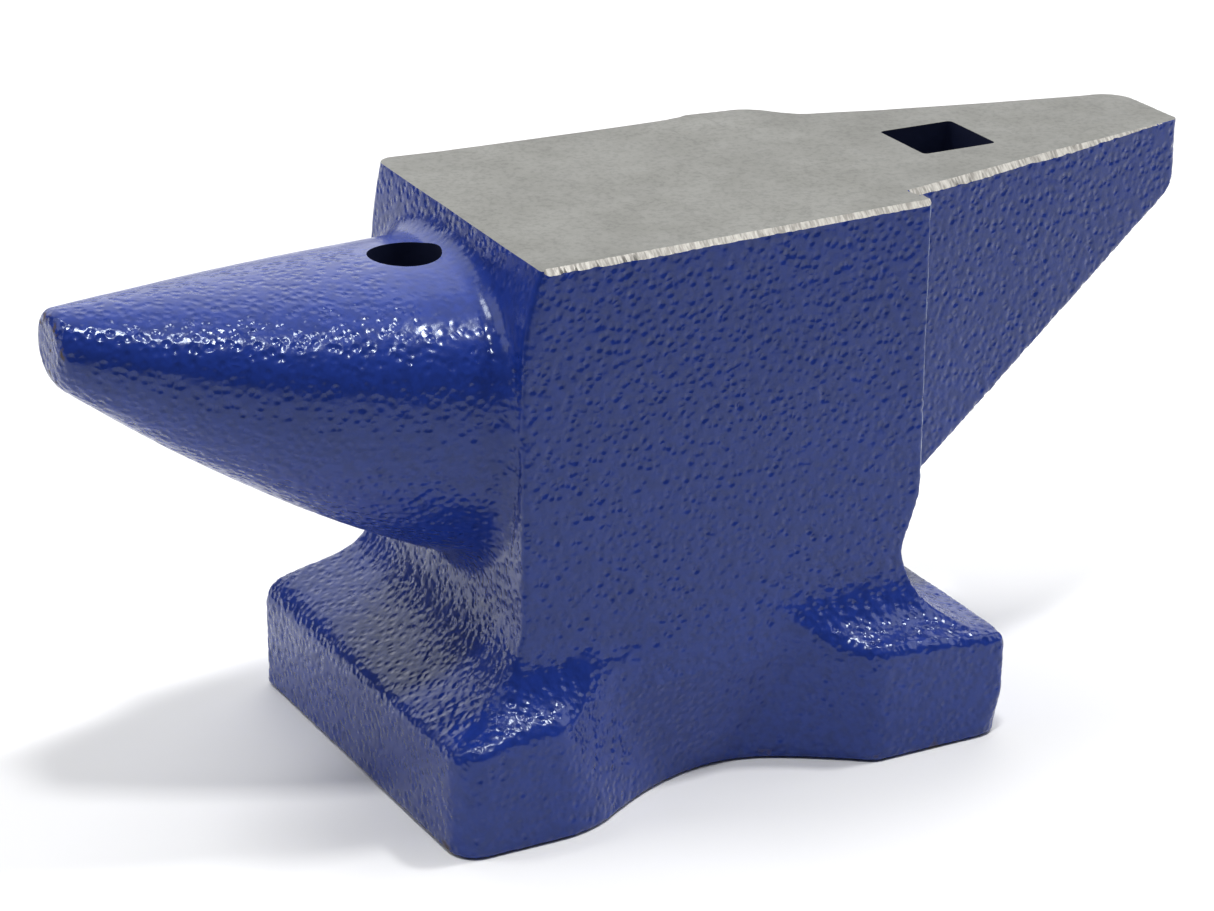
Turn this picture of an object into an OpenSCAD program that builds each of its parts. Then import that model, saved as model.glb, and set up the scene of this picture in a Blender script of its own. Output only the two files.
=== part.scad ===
// Small London-pattern anvil of the 10 kg class, in its traditional built-up pieces:
// a core, a horn, a heel, four corner feet and a steel face plate.
// Millimetres. The origin is the centre of the base underside and +Z is up.
// The horn points along -X, the heel along +X, and the near side is -Y.

/* [Face] */
// Height of the working face above the underside of the base
face_z = 125; // [122:0.5:135]
// Distance from the base centre to the horn end of the face
face_x_horn = 43.8; // [42:0.1:46]
// Distance from the base centre to the step where the heel begins
face_x_heel = 52.4; // [50:0.1:55]
// Width of the face at its horn end
face_w_horn = 84; // [80:0.5:88]
// Width of the face at the step to the heel
face_w_heel = 76.5; // [72:0.5:80]
// Thickness of the steel face plate
plate_t = 6; // [4:0.5:6]
// Width and depth of the ground chamfer along the long edges
chamfer = 1.3; // [0.6:0.1:2]

/* [Heel] */
// Distance from the base centre to the end of the heel
heel_x = 135; // [125:0.1:145]
// Width of the heel where it leaves the body
heel_w_root = 61.8; // [56:0.2:66]
// Width of the heel at its end
heel_w_tip = 25.8; // [20:0.2:36]
// Depth of the heel at its end, measured down from the face
heel_t_tip = 16.8; // [12:0.2:24]
// Height of the heel's underside where it leaves the body
heel_z_root = 54.6; // [54:0.2:66]
// Radius of the upright corners at the end of the heel
heel_r = 5; // [2:0.5:8]

/* [Holes] */
// Side of the square hardy hole
hardy_w = 19; // [12:0.5:22]
// Distance from the base centre to the middle of the hardy hole
hardy_x = 77.8; // [70:0.2:88]
// Diameter of the round pritchel hole at the root of the horn
pritchel_d = 16; // [8:0.5:16]
// Distance from the base centre to the middle of the pritchel hole
pritchel_x = 55; // [55:0.1:60]

/* [Horn] */
// Distance from the base centre to the tip of the horn
horn_x = 134.8; // [115:0.1:150]
// Height of the horn's level top line
horn_top_z = 118; // [114:0.2:118.6]
// Height of the horn's underside where it leaves the body
horn_bottom_z = 50.6; // [48:0.2:60]
// Height at which the horn is widest where it leaves the body
horn_side_z = 92.6; // [80:0.2:96]
// Width of the horn where it leaves the body
horn_w = 76.6; // [64:0.2:78]
// Diameter of the blunt tip
horn_tip_d = 15.8; // [8:0.2:22]
// How far the sides and the underside bow out from straight lines
horn_bow = 4.4; // [0:0.1:6]
// Depth that the horn's root is let into the core
horn_seat = 4; // [2:0.5:6]

/* [Body] */
// Distance from the base centre to the upright wall at the horn end
wall_x = 48.2; // [47.4:0.1:49]
// Height at which that wall begins to lean in towards the face
lean_z = 102; // [90:1:110]
// Half width of the waist at the underside of the base
waist_y = 34.4; // [33:0.2:36]

/* [Base] */
// Length of the base
base_l = 137.2; // [130:0.2:142]
// Width of the base
base_w = 100.6; // [98:0.2:106]
// Height of the upright outer faces of the feet
foot_h = 23.8; // [20:0.2:26]
// Slope of the feet's tops at the horn end, in degrees
slope_horn = 25; // [20:1:27]
// Slope of the feet's tops at the heel end, in degrees
slope_heel = 39; // [37:1:40]
// Radius of the cove that joins the feet to the horn-end wall
cove_horn_r = 14; // [10:1:16]
// Radius of the undercut below the root of the heel
undercut_r = 10; // [9:0.5:10.5]
// Height at which the feet's tops run into that undercut
undercut_foot_z = 38; // [37:0.5:39]
// Radius of the cove that joins the feet to the long sides
cove_side_r = 14; // [12:1:15]
// Radius of the hollow between the feet on each long side
hollow_r = 44; // [42:0.5:48]
// Radius of the upright corners of the base
corner_r = 5; // [2:0.5:8]

/* [Hidden] */
$fn = 96;

far = 300;
tiny = 0.01;
paint = "royalblue";
steel = "lightgray";

plate_z = face_z - plate_t;
// Half width of the body at the base centre, and the angle of its tapering sides
side_angle = atan((face_w_horn - face_w_heel) / 2 / (face_x_horn + face_x_heel));
side_y = face_w_horn / 2 - face_x_horn * tan(side_angle);
// The post is the part of the core that the feet clasp; its flanks stand between them
post_x = 46;
post_y = 33;
flank_x = 26;
// Centre of the undercut below the heel, which runs smoothly into the sloping feet
undercut_foot_x = base_l / 2 - (undercut_foot_z - foot_h) / tan(slope_heel);
undercut_x = undercut_foot_x + undercut_r * sin(slope_heel);
undercut_z = undercut_foot_z + undercut_r * cos(slope_heel);
// Centre of the cove at the horn end, which runs smoothly into the sloping feet
cove_foot_x = wall_x + cove_horn_r * (1 - sin(slope_horn));
cove_foot_z = foot_h + (base_l / 2 - cove_foot_x) * tan(slope_horn);
cove_x = wall_x + cove_horn_r;
cove_z = cove_foot_z + cove_horn_r * cos(slope_horn);
// Height of the feet where they meet the core, just below the top of that cove
foot_top_z = cove_z - 0.4;
// Height of the side coves' lower ends, below the feet's edges because the base is narrower
side_cove_z = foot_h - 0.6;
// Radius of the leaning top of the horn-end wall
lean_in = wall_x - face_x_horn;
lean_r = (pow(face_z - lean_z, 2) + pow(lean_in, 2)) / (2 * lean_in);
// How far below the horn the round hole still grazes the wall
hole_runout = 5;
// Number of rings along the horn and of points round each ring
horn_rings = 12;
horn_sides = 40;

function mix(a, b, t) = a + (b - a) * t;
function bow(t) = 4 * t * (1 - t);
function signed_pow(v, e) = sign(v) * pow(abs(v), e);

// Extrudes an outline drawn in X and Z along the whole width
module across() {
    rotate([90, 0, 0])
        linear_extrude(2 * far, center = true)
            children();
}

// Side view of the body, with its leaning top at the horn end
module body_outline() {
    difference() {
        translate([-wall_x, 0])
            square([wall_x + face_x_heel, face_z]);
        translate([undercut_x, undercut_z])
            circle(undercut_r);
        difference() {
            translate([-wall_x - 1, lean_z])
                square([lean_in + 2, face_z - lean_z + 1]);
            translate([lean_r - wall_x, lean_z])
                circle(lean_r, $fn = 240);
        }
    }
}

// Side view of the flared base, with the sloping tops of the feet
module base_outline() {
    difference() {
        polygon([
            [-base_l / 2, 0],
            [base_l / 2, 0],
            [base_l / 2, foot_h],
            [undercut_foot_x, undercut_foot_z],
            [undercut_x - undercut_r / 2, cove_z],
            [-wall_x, cove_z],
            [-cove_foot_x, cove_foot_z],
            [-base_l / 2, foot_h]
        ]);
        translate([undercut_x, undercut_z])
            circle(undercut_r);
        translate([-cove_x, cove_z])
            circle(cove_horn_r);
    }
}

// Plan of the body, tapering a little towards the heel
module body_plan() {
    w_horn = side_y + far * tan(side_angle);
    w_heel = side_y - face_x_heel * tan(side_angle);
    polygon([
        [-far, -w_horn],
        [face_x_heel, -w_heel],
        [face_x_heel, w_heel],
        [-far, w_horn]
    ]);
}

// Plan of the heel, with its end corners rounded
module heel_plan() {
    hull() {
        translate([face_x_heel, -heel_w_root / 2])
            square([tiny, heel_w_root]);
        for (s = [-1, 1])
            translate([heel_x - heel_r, s * (heel_w_tip / 2 - heel_r)])
                circle(heel_r, $fn = 32);
    }
}

// Plan of the base: a rectangle with rounded corners and a hollow on each long side
module base_plan() {
    difference() {
        union() {
            square([base_l - 2 * corner_r, base_w], center = true);
            square([base_l, base_w - 2 * corner_r], center = true);
            for (sx = [-1, 1], sy = [-1, 1])
                translate([sx * (base_l / 2 - corner_r), sy * (base_w / 2 - corner_r)])
                    circle(corner_r);
        }
        for (s = [-1, 1])
            translate([0, s * (waist_y + hollow_r)])
                circle(hollow_r, $fn = 180);
    }
}

// What lies above the sloping tops of the feet, along one long side
module above_feet() {
    rotate([0, 0, -side_angle])
        translate([0, side_y, 0])
            rotate([90, 0, 90])
                linear_extrude(2 * far, center = true)
                    union() {
                        translate([cove_side_r, side_cove_z + cove_side_r])
                            circle(cove_side_r);
                        translate([cove_side_r, side_cove_z])
                            square(far);
                    }
}

// The whole flared base, up to the height where it has become the body
module base_flare() {
    difference() {
        intersection() {
            linear_extrude(foot_top_z)
                base_plan();
            across()
                base_outline();
        }
        above_feet();
        mirror([0, 1, 0])
            above_feet();
    }
}

// The body, narrowing below the top of the feet to the waist
module body_block() {
    half_w = face_w_horn / 2 + 1;
    intersection() {
        across()
            body_outline();
        linear_extrude(plate_z)
            body_plan();
        rotate([90, 0, 90])
            linear_extrude(2 * far, center = true)
                polygon([
                    [-waist_y, 0],
                    [waist_y, 0],
                    [half_w, foot_top_z],
                    [half_w, face_z],
                    [-half_w, face_z],
                    [-half_w, foot_top_z]
                ]);
    }
}

// The space that the core takes up between the feet
module core_post() {
    translate([-flank_x, -far / 2, -tiny])
        cube([2 * flank_x, far, foot_top_z + tiny]);
    translate([-post_x, -post_y, -tiny])
        cube([2 * post_x, 2 * post_y, foot_top_z + tiny]);
}

// One ring of the horn: t is 0 at the wall and 1 at the tip
function horn_ring(x, t) =
    let (
        half_w = mix(horn_w, horn_tip_d, t) / 2 + horn_bow * bow(t),
        mid_z = mix(horn_side_z, horn_top_z - horn_tip_d / 2, t),
        low_z = mix(horn_bottom_z, horn_top_z - horn_tip_d, t) - horn_bow * bow(t),
        power = mix(0.88, 1, t)
    )
    [for (i = [0 : horn_sides - 1])
        let (
            c = signed_pow(cos(360 * i / horn_sides), power),
            s = signed_pow(sin(360 * i / horn_sides), power)
        )
        [-x, half_w * c, mid_z + s * (s > 0 ? horn_top_z - mid_z : mid_z - low_z)]];

// The horn's skin, with its straight root
module horn_loft() {
    rings = concat(
        [horn_ring(wall_x - horn_seat, 0)],
        [for (k = [0 : horn_rings])
            horn_ring(mix(wall_x, horn_x, k / horn_rings), k / horn_rings)]
    );
    n = horn_sides;
    last = len(rings) - 1;
    polyhedron(
        points = [for (r = rings, p = r) p],
        faces = concat(
            [[for (i = [0 : n - 1]) i]],
            [[for (i = [n - 1 : -1 : 0]) last * n + i]],
            [for (k = [0 : last - 1], i = [0 : n - 1])
                [k * n + i, (k + 1) * n + i, (k + 1) * n + (i + 1) % n]],
            [for (k = [0 : last - 1], i = [0 : n - 1])
                [k * n + i, (k + 1) * n + (i + 1) % n, k * n + (i + 1) % n]]
        )
    );
}

// The recess in the core that takes the horn's straight root
module horn_recess() {
    translate([-wall_x, 0, 0])
        rotate([90, 0, 90])
            linear_extrude(horn_seat)
                polygon([for (p = horn_ring(wall_x, 0)) [p.y, p.z]]);
}

// Cuts the ground chamfer along the top edge from p to q, both in plan
module edge_chamfer(p, q) {
    run = q - p;
    side = chamfer * sqrt(2);
    translate([p.x, p.y, face_z])
        rotate([0, 0, atan2(run.y, run.x)])
            rotate([45, 0, 0])
                translate([-chamfer, -side / 2, -side / 2])
                    cube([norm(run) + 2 * chamfer, side, side]);
}

// The round hole goes down through the horn and grazes the wall below it
module pritchel_hole(from_z) {
    translate([-pritchel_x, 0, from_z])
        cylinder(h = horn_top_z + tiny - from_z, d = pritchel_d);
}

module hardy_hole() {
    translate([hardy_x - hardy_w / 2, -hardy_w / 2, 0])
        cube([hardy_w, hardy_w, face_z + 1]);
}

module body_core() {
    color(paint)
        difference() {
            union() {
                intersection() {
                    body_block();
                    translate([-far, -far, foot_top_z])
                        cube([2 * far, 2 * far, face_z]);
                }
                intersection() {
                    union() {
                        base_flare();
                        body_block();
                    }
                    core_post();
                }
            }
            horn_recess();
            pritchel_hole(horn_bottom_z - hole_runout);
        }
}

module horn() {
    color(paint)
        difference() {
            horn_loft();
            pritchel_hole(0);
        }
}

module heel() {
    color(paint)
        difference() {
            intersection() {
                linear_extrude(plate_z)
                    heel_plan();
                across()
                    polygon([
                        [face_x_heel, heel_z_root],
                        [heel_x, face_z - heel_t_tip],
                        [heel_x, face_z],
                        [face_x_heel, face_z]
                    ]);
            }
            hardy_hole();
        }
}

module face_plate() {
    w_horn = side_y + wall_x * tan(side_angle);
    w_heel = side_y - face_x_heel * tan(side_angle);
    color(steel)
        difference() {
            union() {
                intersection() {
                    linear_extrude(face_z)
                        body_plan();
                    across()
                        body_outline();
                }
                linear_extrude(face_z)
                    heel_plan();
            }
            translate([-far, -far, -1])
                cube([2 * far, 2 * far, plate_z + 1]);
            for (s = [-1, 1]) {
                edge_chamfer([-wall_x, s * w_horn], [face_x_heel, s * w_heel]);
                edge_chamfer([face_x_heel, s * heel_w_root / 2], [heel_x, s * heel_w_tip / 2]);
            }
            hardy_hole();
        }
}

// One corner foot: sx and sy give the signs of the quarter of the base that it fills
module foot(sx, sy) {
    color(paint)
        difference() {
            intersection() {
                base_flare();
                translate([sx > 0 ? 0 : -far, sy > 0 ? 0 : -far, 0])
                    cube([far, far, foot_top_z]);
            }
            core_post();
        }
}

body_core();
horn();
heel();
face_plate();
foot(-1, -1);  // foot_horn_near
foot(-1, 1);  // foot_horn_far
foot(1, -1);  // foot_heel_near
foot(1, 1);  // foot_heel_far
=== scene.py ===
import math

import bmesh
import bpy
import numpy as np
from mathutils import Matrix, Vector


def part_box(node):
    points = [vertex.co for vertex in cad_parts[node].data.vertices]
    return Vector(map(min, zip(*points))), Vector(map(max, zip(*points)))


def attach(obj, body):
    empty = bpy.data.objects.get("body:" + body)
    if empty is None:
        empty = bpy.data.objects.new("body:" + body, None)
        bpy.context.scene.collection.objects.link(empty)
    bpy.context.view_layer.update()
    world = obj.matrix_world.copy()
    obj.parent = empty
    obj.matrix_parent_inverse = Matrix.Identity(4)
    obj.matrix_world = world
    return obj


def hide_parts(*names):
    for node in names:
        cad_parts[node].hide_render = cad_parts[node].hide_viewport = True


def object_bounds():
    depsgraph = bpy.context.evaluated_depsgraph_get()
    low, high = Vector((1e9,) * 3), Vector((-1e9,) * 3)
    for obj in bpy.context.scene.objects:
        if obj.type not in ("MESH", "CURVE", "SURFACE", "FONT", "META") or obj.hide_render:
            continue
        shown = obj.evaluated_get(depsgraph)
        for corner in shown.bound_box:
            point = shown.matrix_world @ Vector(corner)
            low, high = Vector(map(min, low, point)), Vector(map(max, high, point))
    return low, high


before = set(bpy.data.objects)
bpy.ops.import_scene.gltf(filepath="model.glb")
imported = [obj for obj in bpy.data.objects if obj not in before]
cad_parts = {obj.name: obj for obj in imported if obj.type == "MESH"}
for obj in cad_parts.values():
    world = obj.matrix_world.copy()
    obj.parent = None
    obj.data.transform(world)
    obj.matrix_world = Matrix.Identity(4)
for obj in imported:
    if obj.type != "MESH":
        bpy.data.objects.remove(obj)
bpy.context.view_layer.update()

# ---------------------------------------------------------------- sizes, in millimetres
# The main ones come from the boxes of the CAD part's nodes, the others are the CAD part's own
# sizes or shape that only the visual model has. The near side is -y, the horn points to -x.


def mm_box(node):
    low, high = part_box(node)
    return np.array(low) * 1000.0, np.array(high) * 1000.0


PLATE_LOW, PLATE_HIGH = mm_box("face_plate")
HORN_LOW, HORN_HIGH = mm_box("horn")
FOOT_LOW = mm_box("foot_horn_near")[0]

TOP = PLATE_HIGH[2]                 # height of the working face
PLATE = PLATE_LOW[2]                # underside of the face plate
BASE_X = -FOOT_LOW[0]               # half length of the base
BASE_Y = -FOOT_LOW[1]               # half width of the base
TIP = -HORN_LOW[0]                  # horn tip
HORN_TOP = HORN_HIGH[2]
HEEL_END = mm_box("heel")[1][0]

# The body
WALL = 48.2                         # horn-end wall
SKEW = 3.2                          # how much nearer that wall is on the far side
FACE_HORN = 43.8                    # horn end of the face
STEP = 52.4                         # heel end of the body
WAIST = 5.0                         # how far the wall under the heel stands back
SIDE_MID = 40.27                    # half width of the body at x = 0
SIDE_TAPER = 3.75 / 96.2            # taper of the body's sides
SIDE_FLAT = 0.9993                  # cosine of that taper
FAR_SWELL = 0.5                     # how much further out the far side lies
CRISP = 0.9                         # radius of the body's upright corners

# The horn: half width, middle and underside at its root and at its tip
ROOT_HALF, TIP_HALF = 38.3, 7.9
ROOT_MID, ROOT_LOW, TIP_DEEP = 92.6, 50.1, 15.4
HORN_BOW = 4.4                      # how much its sides and underside swell
HORN_ROUND = 2.27                   # roundness at the root; 2 is an ellipse, as at the tip

# The heel
HEEL_HALF, HEEL_END_HALF = 30.9, 12.9
HEEL_LOW, HEEL_DEEP = 54.6, 16.4    # underside at the body, and depth at the end
FAR_TAPER = 0.028                   # how much faster the far side narrows

# The feet and the hollow between them
FOOT_Z = 23.8                       # height of the feet at the horn end
HORN_SLOPE, HORN_SLOPE_LESS = 25, 7.5     # degrees, on the near side, and less on the far one
HORN_RISE = 2.4                     # how much higher the far side is there
HORN_COVE, HORN_COVE_LESS = 13.0, 3.5
HEEL_SLOPE = math.radians(58)       # from the heel feet's flat top up to the waist
SLOPE_X, SLOPE_Z = 51.0, 34.9       # a point on that slope
HEEL_COVE, SIDE_COVE = 8.0, 14.0
HOLLOW_X, HOLLOW_Y = 3.5, 34.9      # the hollow's middle

# The holes
HARDY_X, HARDY = 77.8, 19.0
PRITCHEL_X, PRITCHEL_R = -55.0, 8.0
HOLES_FROM = 46                     # below the horn and the heel, above the feet


# ---------------------------------------------------------------- signed distance helpers


def join(a, b, k):
    """Union with a fillet of radius k."""
    return np.maximum(k, np.minimum(a, b)) - np.hypot(
        np.maximum(k - a, 0), np.maximum(k - b, 0)
    )


def meet(a, b, k):
    """Intersection with an edge rounded to radius k."""
    return np.minimum(-k, np.maximum(a, b)) + np.hypot(
        np.maximum(k + a, 0), np.maximum(k + b, 0)
    )


def ramp(v, a, b):
    t = np.clip((v - a) / (b - a), 0, 1)
    return t * t * (3 - 2 * t)


def swell(s):
    return FAR_SWELL if s > 0 else 0.0


def side_plane(x, y, s):
    """Distance outside the body's long side, s = -1 near and +1 far."""
    return (s * y - (SIDE_MID - SIDE_TAPER * x) - swell(s)) * SIDE_FLAT


def horn_wall(x, y, z):
    """Distance outside the horn-end wall, which leans in towards the face."""
    across = np.clip((y + 42) / 84, 0, 1)
    at = WALL - SKEW * across
    return -x - at + np.clip((z - 102) / 23, 0, 1.3) ** 2 * (at - FACE_HORN + 1.4 * across)


def horn(x, y, z):
    t = (-x - WALL) / (TIP - WALL)
    tc = np.clip(t, 0, 1.02)
    bow = 4 * tc * (1 - tc)
    bow = np.maximum(bow, 0)
    a = ROOT_HALF + (TIP_HALF - ROOT_HALF) * tc + HORN_BOW * bow
    mid = ROOT_MID + (HORN_TOP - TIP_HALF - ROOT_MID) * tc
    low = ROOT_LOW + (HORN_TOP - TIP_DEEP - ROOT_LOW) * tc - HORN_BOW * bow
    up = z > mid
    b = np.where(up, HORN_TOP - mid, mid - low)
    p = HORN_ROUND - 0.27 * tc
    yy, zz = np.abs(y) / a + 1e-6, np.abs(z - mid) / b + 1e-6
    s = yy**p + zz**p
    r = s ** (1 / p)
    gy = (yy / r) ** (p - 1) / a
    gz = (zz / r) ** (p - 1) / b
    # 0.955 allows for the slope of the horn's sides
    d = (r - 1) / np.hypot(gy, gz) * 0.955
    return np.maximum(meet(d, -x - TIP, 2.4), x + 42.5)


def heel(x, y, z):
    run = HEEL_END - STEP
    slope = (HEEL_HALF - HEEL_END_HALF) / run
    c = 1 / math.hypot(1, slope)
    near = (-y - (HEEL_HALF - slope * (x - STEP))) * c
    far = (y - (HEEL_HALF - (slope + FAR_TAPER) * (x - STEP))) * c
    z1 = TOP - HEEL_DEEP
    m = (z1 - HEEL_LOW) / run
    low = (HEEL_LOW + m * (x - STEP) - z) / math.hypot(1, m)
    # The end's far and lower edges are rounder than the others
    d = meet(meet(near, x - HEEL_END, 1.8), meet(far, x - HEEL_END, 5.5), 0.0)
    d = np.maximum(d, meet(x - HEEL_END, low, 5.5))
    d = meet(d, low, 1.6)
    return np.maximum(d, STEP - 12 - x)


def hollow(x, y, z, s):
    """Distance outside the hollow's surface on the side s, and the radius of its upright edges."""
    # Its plan is a hyperbola each way. At the horn end it is wider and leans back.
    across = x - HOLLOW_X
    to_horn = across < 0
    t = np.where(to_horn, np.maximum(-across - 0.28 * np.minimum(z, 30), 0), across)
    steep, bow = np.where(to_horn, 0.95, 0.83), np.where(to_horn, 34.0, 14.0)
    curve = np.sqrt((steep * t) ** 2 + bow**2)
    lean = steep**2 * t / curve
    corner = np.where(to_horn, np.clip(4.0 - 0.12 * z, 1.5, 4.0), 1.3)
    # In the middle it slopes out to the body's side, and clears it above
    side = SIDE_MID - SIDE_TAPER * x + swell(s)
    middle = side + 0.25 - HOLLOW_Y - 5.55 * (1 - np.clip(z / 26, 0, 1))
    out = (np.maximum(middle, 0.05) ** 4 + (curve - bow) ** 4) ** 0.25
    out = out + HOLLOW_Y + 0.3 * np.maximum(z - 37, 0)
    return (s * y - out) / np.hypot(1, lean), corner


def block(x, y, z):
    """The body and the flared base in one."""
    near, far = side_plane(x, y, -1), side_plane(x, y, 1)
    back = ramp(y, -20, 50)
    # Each side: the wall above, the feet's top below, and the cove between them
    slope = np.radians(HORN_SLOPE - HORN_SLOPE_LESS * back)
    end_h = -x - (BASE_X + 0.012 * y - 0.3)
    top_h = (z - FOOT_Z - HORN_RISE * back) * np.cos(slope) + end_h * np.sin(slope)
    horn_side = join(horn_wall(x, y, z), top_h, HORN_COVE - HORN_COVE_LESS * back)
    end_e = x - BASE_X - 0.2
    steep_e = (x - SLOPE_X) * math.sin(HEEL_SLOPE) + (z - SLOPE_Z) * math.cos(HEEL_SLOPE)
    top_e = join(z - (FOOT_Z + 1.1) + 0.03 * end_e, steep_e, HEEL_COVE)
    waist = x - (STEP - WAIST)
    # The end wall leans in below the heel, down to the waist
    lip = meet(x - STEP, (x - STEP) * 0.932 - (z - 56.5) * 0.364, 1.6)
    heel_side = join(join(waist, top_e, 4.0), lip, 0.8)
    top_s = z - (FOOT_Z + 2.1 + 0.008 * (x + 55) - 0.105 * np.maximum(x - 40, 0))
    near_side = join(near, top_s, SIDE_COVE)
    far_side = join(far, top_s, SIDE_COVE)
    # Upright corners, crisp above and rounder towards the feet
    k_horn = CRISP + 4.8 * (1 - ramp(z, 24, 46))
    k_heel = CRISP + 0.5 * (1 - ramp(z, 24, 40))
    k_far = 2.4 + 1.6 * ramp(z, 60, 112)
    d_near = meet(meet(near_side, horn_side, k_horn), heel_side, k_heel)
    d_far = meet(meet(far_side, horn_side, k_far), heel_side, 2.4 + 3.6 * ramp(z, 40, 60))
    flare = np.maximum(d_near, d_far)
    # The footprint, with its four upright corners, and the hollow between the feet
    near_f, far_f = -y - BASE_Y - 0.72 + 0.010 * x, y - BASE_Y
    k_end = 1.9 + 4.0 * (1 - ramp(z, 0, 12))
    foot = np.maximum(
        np.maximum(meet(end_h, near_f, 6.5), meet(end_e, far_f, 5.0)),
        np.maximum(meet(end_h, far_f, 2.4), meet(end_e, near_f, k_end)),
    )
    for s in (-1, 1):
        cut, corner = hollow(x, y, z, s)
        foot = meet(foot, cut, corner)
    # The feet's top edges, softest at the far end of the horn feet
    edge_r = 0.4 + 1.8 * ramp(np.abs(x - HOLLOW_X), 12, 28)
    edge_r = edge_r + ramp(-x, 30, 52) * (0.6 + 3.0 * back)
    lower = meet(flare, foot, edge_r)
    # Above the feet the hollow has run out, and only the body is left
    return np.where(z < 70, lower, flare)


def anvil(x, y, z):
    d = block(x, y, z)
    d = join(d, horn(x, y, z), 4.2)
    # The heel meets the body in a sharp step on the near side and in a wide curve on the far one
    d = join(d, heel(x, y, z), 1.3 + 9.0 * ramp(y, 5, 25))
    # Proud of the face, for the milling below
    d = np.maximum(d, z - (TOP + 2.4))
    return meet(d, -z, 0.7)


# ---------------------------------------------------------------- turning it into a mesh


def fill_grid(f, low, h, n):
    """Evaluates f on a grid, finely only near the surface."""
    block_n = 4
    nb = [(m + block_n - 1) // block_n for m in n]
    centre = [low[i] + h * (np.arange(nb[i]) * block_n + (block_n - 1) / 2) for i in range(3)]
    c = f(centre[0][:, None, None], centre[1][None, :, None], centre[2][None, None, :])
    c = np.broadcast_to(c, nb).astype(np.float32)
    grid = np.repeat(np.repeat(np.repeat(c, block_n, 0), block_n, 1), block_n, 2)
    # Half a block's diagonal, and half as much again, as the distances are not exact
    reach = h * block_n * 0.87 * 1.5 + 0.5
    bi = np.argwhere(np.abs(c) < reach)
    off = np.stack(np.meshgrid(*[np.arange(block_n)] * 3, indexing="ij"), -1).reshape(-1, 3)
    for part in np.array_split(bi, max(1, len(bi) // 8000)):
        idx = (part[:, None, :] * block_n + off[None]).reshape(-1, 3)
        p = np.asarray(low) + h * idx
        grid[idx[:, 0], idx[:, 1], idx[:, 2]] = f(p[:, 0], p[:, 1], p[:, 2])
    return grid[: n[0], : n[1], : n[2]]


def surface_net(grid, low, h):
    s = grid < 0
    count = sum(
        s[i : s.shape[0] - 1 + i, j : s.shape[1] - 1 + j, k : s.shape[2] - 1 + k].astype(np.int8)
        for i in (0, 1)
        for j in (0, 1)
        for k in (0, 1)
    )
    cells = np.argwhere((count > 0) & (count < 8))
    ids = np.full(count.shape, -1, np.int32)
    ids[tuple(cells.T)] = np.arange(len(cells))
    total = np.zeros((len(cells), 3))
    hits = np.zeros(len(cells))
    corners = [(i, j, k) for i in (0, 1) for j in (0, 1) for k in (0, 1)]
    values = {c: grid[tuple((cells + c).T)] for c in corners}
    for a in corners:
        for axis in range(3):
            if a[axis]:
                continue
            b = list(a)
            b[axis] = 1
            va, vb = values[a], values[tuple(b)]
            cross = (va < 0) != (vb < 0)
            t = np.where(cross, va / np.where(cross, va - vb, 1), 0)
            p = np.tile(np.array(a, float), (len(cells), 1))
            p[:, axis] = t
            total += p * cross[:, None]
            hits += cross
    verts = np.asarray(low) + h * (cells + total / hits[:, None])
    quads = []
    for axis in range(3):
        u, v = (axis + 1) % 3, (axis + 2) % 3
        lo = [slice(None)] * 3
        hi = [slice(None)] * 3
        lo[axis], hi[axis] = slice(0, -1), slice(1, None)
        a, b = s[tuple(lo)], s[tuple(hi)]
        edges = np.argwhere(a != b)
        edges = edges[(edges[:, u] > 0) & (edges[:, v] > 0)]
        edges = edges[(edges[:, u] < count.shape[u]) & (edges[:, v] < count.shape[v])]
        inside = s[tuple(edges.T)]
        du, dv = np.zeros(3, int), np.zeros(3, int)
        du[u], dv[v] = 1, 1
        q = np.stack(
            [
                ids[tuple((edges - du - dv).T)],
                ids[tuple((edges - dv).T)],
                ids[tuple(edges.T)],
                ids[tuple((edges - du).T)],
            ],
            1,
        )
        q[~inside] = q[~inside][:, ::-1]
        quads.append(q)
    return verts, np.concatenate(quads)


def gradient(f, p, e=0.05):
    g = np.empty_like(p)
    for i in range(3):
        d = np.zeros(3)
        d[i] = e
        q, r = p + d, p - d
        g[:, i] = f(q[:, 0], q[:, 1], q[:, 2]) - f(r[:, 0], r[:, 1], r[:, 2])
    return g / (2 * e)


def settle(f, p, steps, limit):
    """Moves points onto the surface of f."""
    for _ in range(steps):
        v = f(p[:, 0], p[:, 1], p[:, 2])
        g = gradient(f, p)
        move = -(v / np.maximum((g**2).sum(1), 0.2))[:, None] * g
        size = np.linalg.norm(move, axis=1, keepdims=True)
        p = p + move * np.minimum(1, limit / np.maximum(size, 1e-9))
    return p


def relax(p, quads, times):
    """Evens out the mesh, keeping its points near where they are."""
    a = quads.ravel()
    b = np.roll(quads, -1, 1).ravel()
    n = np.bincount(a, minlength=len(p)) + np.bincount(b, minlength=len(p))
    for _ in range(times):
        s = np.stack(
            [
                np.bincount(a, p[b, i], len(p)) + np.bincount(b, p[a, i], len(p))
                for i in range(3)
            ],
            1,
        )
        p = 0.4 * p + 0.6 * s / n[:, None]
    return p


class Waves:
    """Smooth random relief with one typical length, in mm: a sum of plane waves."""

    def __init__(self, seed, length, spread, count):
        rng = np.random.default_rng(seed)
        d = rng.normal(size=(count, 3))
        d /= np.linalg.norm(d, axis=1, keepdims=True)
        size = 2 * math.pi / (length * (1 + spread * rng.uniform(-1, 1, count)))
        self.k = (d * size[:, None]).astype(np.float32)
        self.phase = rng.uniform(0, 2 * math.pi, count).astype(np.float32)

    def __call__(self, p):
        out = np.zeros(len(p), np.float32)
        p = p.astype(np.float32)
        for k, f in zip(self.k, self.phase):
            out += np.cos(p @ k + f)
        return out * math.sqrt(2 / len(self.k))


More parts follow.
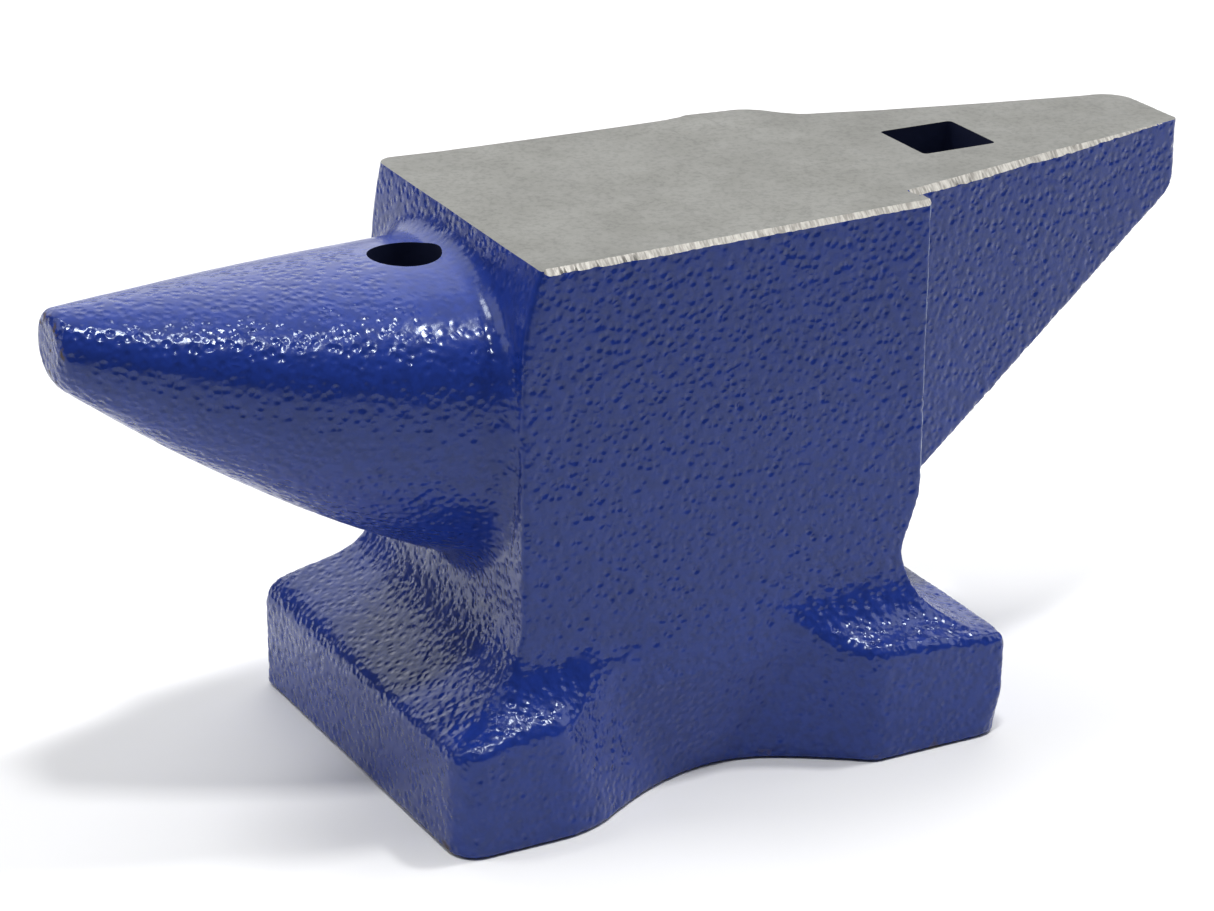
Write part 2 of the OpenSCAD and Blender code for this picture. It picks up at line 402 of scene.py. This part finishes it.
def relief(p):
    """Height of the thick hammered enamel over the casting."""
    fine = Waves(11, 2.1, 0.25, 90)(p)
    broad = Waves(12, 6.5, 0.4, 30)(p)
    slow = Waves(13, 24.0, 0.4, 24)(p)
    strength = 0.85 + 0.25 * np.tanh(slow)
    # The coat has run smooth on the wall above the horn and at the horn's root
    smooth = np.clip((p[:, 2] - 103) / 11, 0, 1) * np.clip((-38 - p[:, 0]) / 4, 0, 1)
    strength = strength * (1 - 0.85 * smooth)
    # The peaks are flattened, the pits deep: the skin of hammered enamel
    pitted = np.minimum(fine, 0.5) + 0.25 * np.minimum(fine + 1, 0)
    return strength * (0.07 * pitted + 0.02 * broad) + 0.04 * slow


def new_mesh(name, verts, faces):
    me = bpy.data.meshes.new(name)
    me.vertices.add(len(verts))
    me.vertices.foreach_set("co", (np.asarray(verts) / 1000.0).astype(np.float32).ravel())
    me.loops.add(faces.size)
    me.loops.foreach_set("vertex_index", faces.astype(np.int32).ravel())
    me.polygons.add(len(faces))
    me.polygons.foreach_set("loop_start", np.arange(len(faces), dtype=np.int32) * faces.shape[1])
    me.update(calc_edges=True)
    me.validate()
    return me


def new_object(name, me):
    o = bpy.data.objects.new(name, me)
    bpy.context.scene.collection.objects.link(o)
    return o


VOXEL = 0.64
MARGIN = 2.0
low = np.array([-TIP - MARGIN, -BASE_Y - MARGIN, -MARGIN])
high = np.array([HEEL_END + MARGIN, BASE_Y + MARGIN, TOP + 5.0])
count = np.ceil((high - low) / VOXEL).astype(int) + 1
# Offset so that no flat side of the anvil falls on a plane of grid points
low += np.array([0.137, 0.211, 0.173])
grid = fill_grid(anvil, low, VOXEL, [int(c) for c in count])
points, faces = surface_net(grid, low, VOXEL)
points = settle(anvil, points, 2, VOXEL)
points = relax(points, faces, 2)
points = settle(anvil, points, 2, VOXEL)
g = gradient(anvil, points)
g /= np.maximum(np.linalg.norm(g, axis=1, keepdims=True), 1e-6)
height = relief(points)
# The underside is plain, and the tip of the horn is pitted
flat = np.clip((1.0 - points[:, 2]) / 1.5, 0, 1)
tip = np.clip((-points[:, 0] - (TIP - 2.5)) / 2.0, 0, 1)
pits = Waves(21, 3.2, 0.5, 40)(points)
height = height * (1 - 0.8 * flat)
height = height - tip * 0.16 * np.maximum(pits - 0.7, 0) ** 0.7
points = points + g * height[:, None]
master = new_object("master", new_mesh("master", points, faces))


# ---------------------------------------------------------------- machining and cutting


def cutter(name, verts, faces):
    me = bpy.data.meshes.new(name)
    me.from_pydata([tuple(np.asarray(v) / 1000.0) for v in verts], [], faces)
    me.update()
    bm = bmesh.new()
    bm.from_mesh(me)
    bmesh.ops.recalc_face_normals(bm, faces=bm.faces)
    bm.to_mesh(me)
    bm.free()
    o = new_object(name, me)
    o.hide_render = True
    return o


def box_cutter(name, a, b):
    v = [(x, y, z) for x in (a[0], b[0]) for y in (a[1], b[1]) for z in (a[2], b[2])]
    f = [(0, 1, 3, 2), (4, 6, 7, 5), (0, 4, 5, 1), (2, 3, 7, 6), (0, 2, 6, 4), (1, 5, 7, 3)]
    return cutter(name, v, f)


def prism(name, outline, axis, a, b):
    """A straight prism: outline in the other two axes, in order, from a to b."""
    def at(p, c):
        v = list(p)
        v.insert(axis, c)
        return v
    n = len(outline)
    v = [at(p, a) for p in outline] + [at(p, b) for p in outline]
    f = [tuple(range(n)), tuple(range(2 * n - 1, n - 1, -1))]
    f += [(i, (i + 1) % n, n + (i + 1) % n, n + i) for i in range(n)]
    return cutter(name, v, f)


def boolean(obj, tool, operation):
    m = obj.modifiers.new("cut", "BOOLEAN")
    m.object = tool
    m.operation = operation
    m.solver = "MANIFOLD"
    bpy.context.view_layer.update()
    dg = bpy.context.evaluated_depsgraph_get()
    me = bpy.data.meshes.new_from_object(obj.evaluated_get(dg))
    obj.modifiers.remove(m)
    old = obj.data
    obj.data = me
    bpy.data.meshes.remove(old)


def copy_of(obj, name):
    me = obj.data.copy()
    return new_object(name, me)


def chamfer_tool(name, p, q, depth, taper_in, taper_out, seed):
    """A wedge along the top edge from p to q (plan), ground by hand: its width wavers."""
    rng = np.random.default_rng(seed)
    p, q = np.array(p, float), np.array(q, float)
    run = np.linalg.norm(q - p)
    d = (q - p) / run
    out = np.array([d[1], -d[0]])
    n = int(run / 0.42)
    s = np.linspace(0, run, n)
    wide = depth * (1 + 0.04 * np.sin(s / 5.3 + seed) + 0.02 * np.sin(s / 1.9 + 2 * seed))
    wide = wide + rng.normal(0, 0.014, n)
    wide = wide * np.clip((s + 0.2) / max(taper_in, 0.2), 0.0, 1) ** 0.5
    if taper_out:
        wide = wide * np.clip((run - s) / taper_out, 0.12, 1)
    verts, faces = [], []
    for si, w in zip(s, wide):
        c = p + d * si
        inner, outer = c - out * w, c + out * 3.0
        verts.append((inner[0], inner[1], TOP + 0.0))
        verts.append((outer[0], outer[1], TOP - w - 3.0))
        verts.append((outer[0], outer[1], TOP + 4.0))
        verts.append((inner[0], inner[1], TOP + 4.0))
    for i in range(n - 1):
        a, b = 4 * i, 4 * (i + 1)
        for j in range(4):
            faces.append((a + j, b + j, b + (j + 1) % 4, a + (j + 1) % 4))
    faces.append((0, 1, 2, 3))
    e = 4 * (n - 1)
    faces.append((e + 3, e + 2, e + 1, e))
    return cutter(name, verts, faces)


def rounded_square(x, w, r, n=5):
    pts = []
    for i, (sx, sy) in enumerate([(1, 1), (-1, 1), (-1, -1), (1, -1)]):
        for j in range(n + 1):
            a = math.radians(90 * i + 90 * j / n)
            pts.append((x + sx * (w / 2 - r) + r * math.cos(a), sy * (w / 2 - r) + r * math.sin(a)))
    return pts


def circle(x, y, r, n):
    turn = 2 * math.pi
    return [(x + r * math.cos(turn * i / n), y + r * math.sin(turn * i / n)) for i in range(n)]


square, ring = rounded_square(HARDY_X, HARDY, 1.1), circle(PRITCHEL_X, 0, PRITCHEL_R, 72)
tools = [
    box_cutter("mill", (-300, -300, TOP), (300, 300, TOP + 60)),
    prism("hardy", square, 2, HOLES_FROM, TOP + 20),
    prism("pritchel", ring, 2, HOLES_FROM, TOP + 20),
]
for t in tools:
    boolean(master, t, "DIFFERENCE")


def edge(x, s):
    return (x, s * (SIDE_MID - SIDE_TAPER * x + swell(s)))


def heel_edge(x, s):
    slope = (HEEL_HALF - HEEL_END_HALF) / (HEEL_END - STEP) + (FAR_TAPER if s > 0 else 0.0)
    return (x, s * (HEEL_HALF - slope * (x - STEP)))


# Each from, to, depth, length of the run-in and of the run-out, and seed
chamfers = [
    chamfer_tool(name, *values)
    for name, *values in (
        ("ground_near", edge(-FACE_HORN + 0.7, -1), edge(STEP + 1.0, -1), 1.2, 1.5, 0, 3),
        ("ground_heel_near", heel_edge(STEP - 1.4, -1), heel_edge(HEEL_END + 1, -1), 1.35, 0.5,
         42, 5),
        ("ground_far", edge(STEP - 22, 1), edge(-FACE_HORN + 5, 1), 0.8, 20, 12, 7),
        ("ground_heel_far", heel_edge(HEEL_END - 7, 1), heel_edge(STEP + 13, 1), 0.8, 25, 12, 9),
    )
]
for t in chamfers:
    boolean(master, t, "DIFFERENCE")
tools += chamfers

# The joint planes. The horn is let into the core by 4 mm or more.
regions = {"face_plate": box_cutter("r_plate", (-52, -60, PLATE), (300, 60, TOP + 30))}
seat = []
for i in range(72):
    a = 2 * math.pi * i / 72
    c, s = math.cos(a), math.sin(a)
    y = 40.8 * math.copysign(abs(c) ** 0.88, c)
    z = 88.0 + 42.5 * math.copysign(abs(s) ** 0.88, s)
    seat.append((y, z))
regions["horn"] = prism("r_horn", seat, 0, -TIP - 20, -40.0)
regions["heel"] = box_cutter("r_heel", (49.0, -33.0, 52.8), (HEEL_END + 20, 36.0, PLATE + 0.0))
for name, sx, sy in (
    ("foot_horn_near", -1, -1),
    ("foot_horn_far", -1, 1),
    ("foot_heel_near", 1, -1),
    ("foot_heel_far", 1, 1),
):
    outline = [(26, 32), (45, 32), (45, 0), (120, 0), (120, 120), (26, 120)]
    outline = [(sx * x, sy * y) for x, y in outline]
    regions[name] = prism("r_" + name, outline, 2, -10, 40.0)

pieces = {}
rest = master
for name, region in regions.items():
    piece = copy_of(rest, "anvil_" + name)
    boolean(piece, region, "INTERSECT")
    boolean(rest, region, "DIFFERENCE")
    pieces[name] = piece
rest.name = "anvil_body_core"
pieces["body_core"] = rest
for o in tools + list(regions.values()):
    bpy.data.objects.remove(o)


# ---------------------------------------------------------------- materials


class Nodes:
    """A short way to build a node tree."""

    def __init__(self, name):
        self.mat = bpy.data.materials.new(name)
        self.mat.use_nodes = True
        self.tree = self.mat.node_tree
        self.tree.nodes.clear()
        self.coord = self.add("ShaderNodeTexCoord").outputs["Object"]

    def add(self, kind, **values):
        n = self.tree.nodes.new(kind)
        for k, v in values.items():
            if hasattr(n, k):
                setattr(n, k, v)
        return n

    def put(self, socket, value):
        if isinstance(value, bpy.types.NodeSocket):
            self.tree.links.new(value, socket)
        else:
            socket.default_value = value

    def noise(self, scale, detail=2.0, rough=0.5, coord=None):
        n = self.add("ShaderNodeTexNoise")
        self.put(n.inputs["Vector"], coord or self.coord)
        n.inputs["Scale"].default_value = scale
        n.inputs["Detail"].default_value = detail
        n.inputs["Roughness"].default_value = rough
        return n.outputs["Fac"]

    def voronoi(self, scale):
        n = self.add("ShaderNodeTexVoronoi")
        self.put(n.inputs["Vector"], self.coord)
        n.inputs["Scale"].default_value = scale
        return n.outputs["Distance"]

    def ramp(self, value, stops):
        """Smooth step. The stops are from low, from high, to low and to high."""
        n = self.add("ShaderNodeMapRange")
        n.interpolation_type = "SMOOTHSTEP"
        self.put(n.inputs["Value"], value)
        for name, v in zip(("From Min", "From Max", "To Min", "To Max"), stops):
            n.inputs[name].default_value = v
        return n.outputs["Result"]

    def math(self, op, a, b=0.0):
        n = self.add("ShaderNodeMath", operation=op)
        self.put(n.inputs[0], a)
        self.put(n.inputs[1], b)
        return n.outputs[0]

    def mix(self, fac, a, b):
        n = self.add("ShaderNodeMix", data_type="RGBA")
        self.put(n.inputs["Factor"], fac)
        self.put(n.inputs[6], a)
        self.put(n.inputs[7], b)
        return n.outputs[2]

    def split(self, vector):
        n = self.add("ShaderNodeSeparateXYZ")
        self.put(n.inputs[0], vector)
        return n.outputs["X"], n.outputs["Y"], n.outputs["Z"]

    def stretch(self, scale, rotation=(0, 0, 0)):
        n = self.add("ShaderNodeMapping")
        self.put(n.inputs["Vector"], self.coord)
        n.inputs["Scale"].default_value = scale
        n.inputs["Rotation"].default_value = rotation
        return n.outputs["Vector"]

    def bump(self, height, distance, normal=None):
        n = self.add("ShaderNodeBump")
        n.inputs["Strength"].default_value = 1.0
        n.inputs["Distance"].default_value = distance
        self.put(n.inputs["Height"], height)
        if normal is not None:
            self.put(n.inputs["Normal"], normal)
        return n.outputs["Normal"]

    def finish(self, **inputs):
        p = self.add("ShaderNodeBsdfPrincipled")
        for k, v in inputs.items():
            self.put(p.inputs[k.replace("_", " ")], v)
        out = self.add("ShaderNodeOutputMaterial")
        self.tree.links.new(p.outputs[0], out.inputs[0])
        return self.mat


def rgb(r, g, b):
    return (r, g, b, 1.0)


def blue_enamel():
    n = Nodes("blue_enamel")
    wide = n.ramp(n.noise(14.0, 3.0, 0.55), (0.3, 0.7, 0, 1))
    speck = n.ramp(n.noise(420.0, 2.0, 0.5), (0.35, 0.7, 0, 0.5))
    base = n.mix(wide, rgb(0.010, 0.030, 0.220), rgb(0.013, 0.037, 0.260))
    base = n.mix(speck, base, rgb(0.008, 0.022, 0.15))
    x, y, z = n.split(n.coord)
    # Thin spots at the bottom of the base, where the iron shows brown
    low = n.ramp(z, (0.0005, 0.0032, 1, 0))
    chips = n.ramp(n.noise(75.0, 4.0, 0.65), (0.60, 0.68, 0, 1))
    bare = n.math("MULTIPLY", low, chips)
    # The blunt tip of the horn is pitted, with dark rust in the pits
    tip = n.ramp(x, (-TIP / 1000 + 0.0012, -TIP / 1000 + 0.0004, 0, 1))
    pit = n.ramp(n.noise(330.0, 3.0, 0.6), (0.56, 0.66, 0, 1))
    bare = n.math("MAXIMUM", bare, n.math("MULTIPLY", tip, pit))
    # A painted highlight: a pale line, broken up by noise, along the sharp upright edge between the
    # body and the heel
    radius, much = 0.00075, 0.95
    dx = n.math("SUBTRACT", x, STEP / 1000)
    dy = n.math("ADD", y, (SIDE_MID - SIDE_TAPER * STEP) / 1000)
    away = n.math("ADD", n.math("MULTIPLY", dx, dx), n.math("MULTIPLY", dy, dy))
    line = n.ramp(n.math("SQRT", away), (radius / 2, radius, much, 0))
    line = n.math("MULTIPLY", line, n.ramp(z, (0.052, 0.058, 0, 1)))
    broken = n.ramp(n.noise(260.0, 2.0), (0.35, 0.6, 0.25, 1))
    # Mixes the painted highlight line into the enamel's colour
    base = n.mix(n.math("MULTIPLY", line, broken), base, rgb(0.24, 0.31, 0.50))
    rust = n.mix(n.noise(500.0), rgb(0.035, 0.022, 0.016), rgb(0.11, 0.07, 0.045))
    colour = n.mix(bare, base, rust)
    # Round pits of two sizes and a trace of orange peel, finer than the modelled relief, and
    # less deep where the coat has run smooth around the horn's root
    run = n.math("MULTIPLY", n.ramp(z, (0.102, 0.113, 0, 1)), n.ramp(x, (-0.042, -0.047, 0, 1)))
    run = n.math("MULTIPLY", run, n.ramp(x, (-0.070, -0.058, 0, 1)))
    depth = n.ramp(run, (0, 1, 1, 0.2))
    small = n.ramp(n.voronoi(500.0), (0.0, 0.62, 0, 1))
    large = n.ramp(n.voronoi(330.0), (0.0, 0.42, 0, 1))
    peel = n.noise(1100.0, 1.0, 0.5)
    normal = n.bump(n.math("MULTIPLY", small, depth), 0.00020)
    normal = n.bump(n.math("MULTIPLY", large, depth), 0.00014, normal)
    normal = n.bump(n.math("MULTIPLY", peel, depth), 0.00004, normal)
    rough = n.ramp(n.noise(60.0, 3.0), (0.3, 0.7, 0.18, 0.24))
    rough = n.math("ADD", rough, n.math("MULTIPLY", bare, 0.45))
    return n.finish(Base_Color=colour, Roughness=rough, Normal=normal, Metallic=0.0, IOR=1.47,
                    Specular_Tint=rgb(0.86, 0.95, 1.0))


def milled_steel():
    n = Nodes("milled_steel")
    cloud = n.noise(26.0, 4.0, 0.6)
    grain = n.noise(900.0, 3.0, 0.6)
    along = n.stretch((1, 0.05, 1), (0, 0, math.radians(3)))
    oblique = n.stretch((1, 0.16, 1), (0, 0, math.radians(-24)))
    marks = n.noise(620.0, 4.0, 0.65, coord=along)
    fine = n.noise(900.0, 3.0, 0.7, coord=oblique)
    cloud = n.ramp(cloud, (0.3, 0.7, 0, 1))
    colour = n.mix(cloud, rgb(0.200, 0.200, 0.184), rgb(0.236, 0.236, 0.218))
    colour = n.mix(n.ramp(grain, (0.42, 0.70, 0, 0.6)), colour, rgb(0.14, 0.14, 0.131))
    scratch = n.ramp(marks, (0.62, 0.74, 0, 0.5))
    colour = n.mix(scratch, colour, rgb(0.15, 0.148, 0.14))
    stain = n.ramp(n.noise(48.0, 5.0, 0.7), (0.63, 0.75, 0, 0.55))
    colour = n.mix(stain, colour, rgb(0.12, 0.117, 0.11))
    rough = n.ramp(n.noise(85.0, 4.0, 0.6), (0.3, 0.7, 0.42, 0.54))
    normal = n.bump(marks, 0.00003)
    normal = n.bump(fine, 0.00002, normal)
    normal = n.bump(grain, 0.000012, normal)
    return n.finish(Base_Color=colour, Metallic=0.9, Roughness=rough, Normal=normal)


def ground_edge():
    n = Nodes("ground_edge")
    lines = n.noise(520.0, 3.0, 0.6, coord=n.stretch((3.2, 0.5, 0.5)))
    grain = n.noise(1400.0, 2.0, 0.5)
    pale = n.ramp(lines, (0.35, 0.65, 0, 1))
    colour = n.mix(pale, rgb(0.24, 0.23, 0.212), rgb(0.47, 0.455, 0.42))
    colour = n.mix(n.ramp(grain, (0.5, 0.8, 0, 0.5)), colour, rgb(0.34, 0.32, 0.29))
    rough = n.ramp(lines, (0.3, 0.7, 0.50, 0.34))
    normal = n.bump(lines, 0.00010)
    return n.finish(Base_Color=colour, Metallic=0.85, Roughness=rough, Normal=normal)


def hole_shade():
    n = Nodes("hole_shade")
    # The walls of the holes are coloured near black: painted shade inside the holes, over the same
    # blue coat
    grain = n.noise(300.0, 4.0, 0.6)
    colour = n.mix(grain, rgb(0.003, 0.006, 0.026), rgb(0.006, 0.010, 0.040))
    return n.finish(Base_Color=colour, Metallic=0.0, Roughness=0.75, Specular_IOR_Level=0.2,
                    Normal=n.bump(grain, 0.00012))


def bare_iron():
    n = Nodes("bare_iron")
    grain = n.noise(300.0, 4.0, 0.6)
    colour = n.mix(grain, rgb(0.05, 0.048, 0.045), rgb(0.16, 0.15, 0.14))
    return n.finish(Base_Color=colour, Metallic=0.8, Roughness=0.6, Normal=n.bump(grain, 0.00008))


MATERIALS = (blue_enamel(), milled_steel(), ground_edge(), bare_iron(), hole_shade())
PAINT, STEEL, GROUND, IRON, HOLE_SHADE = range(len(MATERIALS))

for name, o in pieces.items():
    me = o.data
    me.materials.clear()
    for m in MATERIALS:
        me.materials.append(m)
    n = len(me.polygons)
    centre = np.empty(n * 3)
    normal = np.empty(n * 3)
    me.polygons.foreach_get("center", centre)
    me.polygons.foreach_get("normal", normal)
    c = centre.reshape(-1, 3) * 1000.0
    w = normal.reshape(-1, 3)
    index = np.full(n, PAINT, np.int32)
    # A face below the anvil's own surface is a cut: milled, ground, drilled or a joint
    f = anvil(c[:, 0], c[:, 1], c[:, 2])
    inside = f < -0.6
    if name == "face_plate":
        index[(w[:, 2] > 0.98) & (c[:, 2] > TOP - 0.05)] = STEEL
        slope = (w[:, 2] > 0.45) & (w[:, 2] < 0.95) & (c[:, 2] > TOP - 2.6) & (c[:, 2] < TOP - 0.01)
        slope &= (np.abs(w[:, 1]) > 0.25) & inside | (slope & (f < -0.12))
        index[slope] = GROUND
        index[(w[:, 2] < -0.98) & (np.abs(c[:, 2] - PLATE) < 0.02)] = IRON
    square = HARDY / 2 + 0.1
    in_hardy = (np.abs(c[:, 0] - HARDY_X) < square) & (np.abs(c[:, 1]) < square)
    in_round = np.hypot(c[:, 0] - PRITCHEL_X, c[:, 1]) < PRITCHEL_R + 0.1
    hidden = inside & (index == PAINT) & ~in_hardy & ~in_round & (c[:, 2] < TOP - 0.3)
    index[hidden] = IRON
    # The upright walls of both holes take the near-black painted shade
    index[(in_round | in_hardy) & inside & (np.abs(w[:, 2]) < 0.5)] = HOLE_SHADE
    me.polygons.foreach_set("material_index", index)
    me.shade_smooth()
    me.set_sharp_from_angle(angle=math.radians(38))
    me.update()
    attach(o, "root")
    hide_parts(name)
    print("piece", name, len(me.vertices), n)


# ---------------------------------------------------------------- stage, lights and camera

CAMERA_AZIMUTH, CAMERA_ELEVATION, CAMERA_ROLL = -27.94, 22.06, 0.35     # degrees
CAMERA_FOCAL, CAMERA_WIDTH = 3750.0, 1214.0     # focal length and width of the frame, in pixels
CAMERA_DISTANCE = 0.837                         # in metres, as all below
FLOOR = 6.0                                     # half side of the floor

def floor_material():
    n = Nodes("pale_floor")
    soft = n.noise(9.0, 2.0)
    colour = n.mix(soft, rgb(0.86, 0.86, 0.86), rgb(0.88, 0.88, 0.88))
    # In front of the anvil, square to the view, the floor turns dark: painted shade standing for
    # the unlit room, for the enamel to reflect
    y = n.split(n.stretch((1, 1, 1), (0, 0, -math.radians(CAMERA_AZIMUTH))))[1]
    colour = n.mix(n.ramp(y, (-0.55, -0.22, 1, 0)), colour, rgb(0.10, 0.11, 0.13))
    return n.finish(Base_Color=colour, Roughness=0.7)


me = bpy.data.meshes.new("floor")
corners = [(-FLOOR, -FLOOR, 0), (FLOOR, -FLOOR, 0), (FLOOR, FLOOR, 0), (-FLOOR, FLOOR, 0)]
me.from_pydata(corners, [], [(0, 1, 2, 3)])
floor = new_object("floor", me)
floor.location.z = float(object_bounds()[0][2]) - 0.0003
me.materials.append(floor_material())

world = bpy.data.worlds.new("studio")
world.use_nodes = True
bg = world.node_tree.nodes["Background"]
bg.inputs[0].default_value = (0.93, 0.96, 1.0, 1)
bg.inputs[1].default_value = 0.10
bpy.context.scene.world = world

middle = Vector((0.0, 0.0, 0.07))


def towards(azimuth, elevation):
    """Unit vector from the anvil. Azimuth 0 is in front of the near side."""
    a, e = math.radians(azimuth), math.radians(elevation)
    return Vector((math.sin(a) * math.cos(e), -math.cos(a) * math.cos(e), math.sin(e)))


def softbox(name, azimuth, elevation, distance, size, power):
    """An area light aimed at the anvil."""
    back = towards(azimuth, elevation)
    data = bpy.data.lights.new(name, "AREA")
    data.shape = "RECTANGLE"
    data.size, data.size_y = size
    data.energy = power
    o = bpy.data.objects.new(name, data)
    o.location = middle + back * distance
    o.rotation_euler = back.to_track_quat("Z", "Y").to_euler()
    bpy.context.scene.collection.objects.link(o)


for values in (
    ("backdrop", 165, 30, 1.5, (2.6, 1.5), 17),
    ("overhead", 180, 72, 1.5, (1.6, 0.8), 4),
    ("key", -23, 74, 1.3, (0.15, 0.13), 7.0),
    ("key_right", 76, 65, 1.3, (0.13, 0.13), 6.0),
    ("key_left", -118, 64, 1.3, (0.30, 0.30), 4.0),
    ("fill_right", 75, 35, 1.6, (0.9, 0.9), 5),
    ("fill_left", -110, 35, 1.6, (0.9, 0.9), 3.8),
):
    softbox(*values)
bpy.context.scene.view_settings.view_transform = "Standard"

back = towards(CAMERA_AZIMUTH, CAMERA_ELEVATION)
aim = Vector((-0.0050, 0.0023, 0.0618))
data = bpy.data.cameras.new("camera")
data.sensor_fit = "HORIZONTAL"
data.sensor_width = 36.0
data.lens = CAMERA_FOCAL / CAMERA_WIDTH * 36.0
data.clip_start, data.clip_end = 0.01, 50.0
camera = bpy.data.objects.new("camera", data)
camera.matrix_world = (
    Matrix.Translation(aim + back * CAMERA_DISTANCE)
    @ back.to_track_quat("Z", "Y").to_matrix().to_4x4()
    @ Matrix.Rotation(math.radians(CAMERA_ROLL), 4, "Z")
)
bpy.context.scene.collection.objects.link(camera)
bpy.context.scene.camera = camera

bpy.context.view_layer.update()
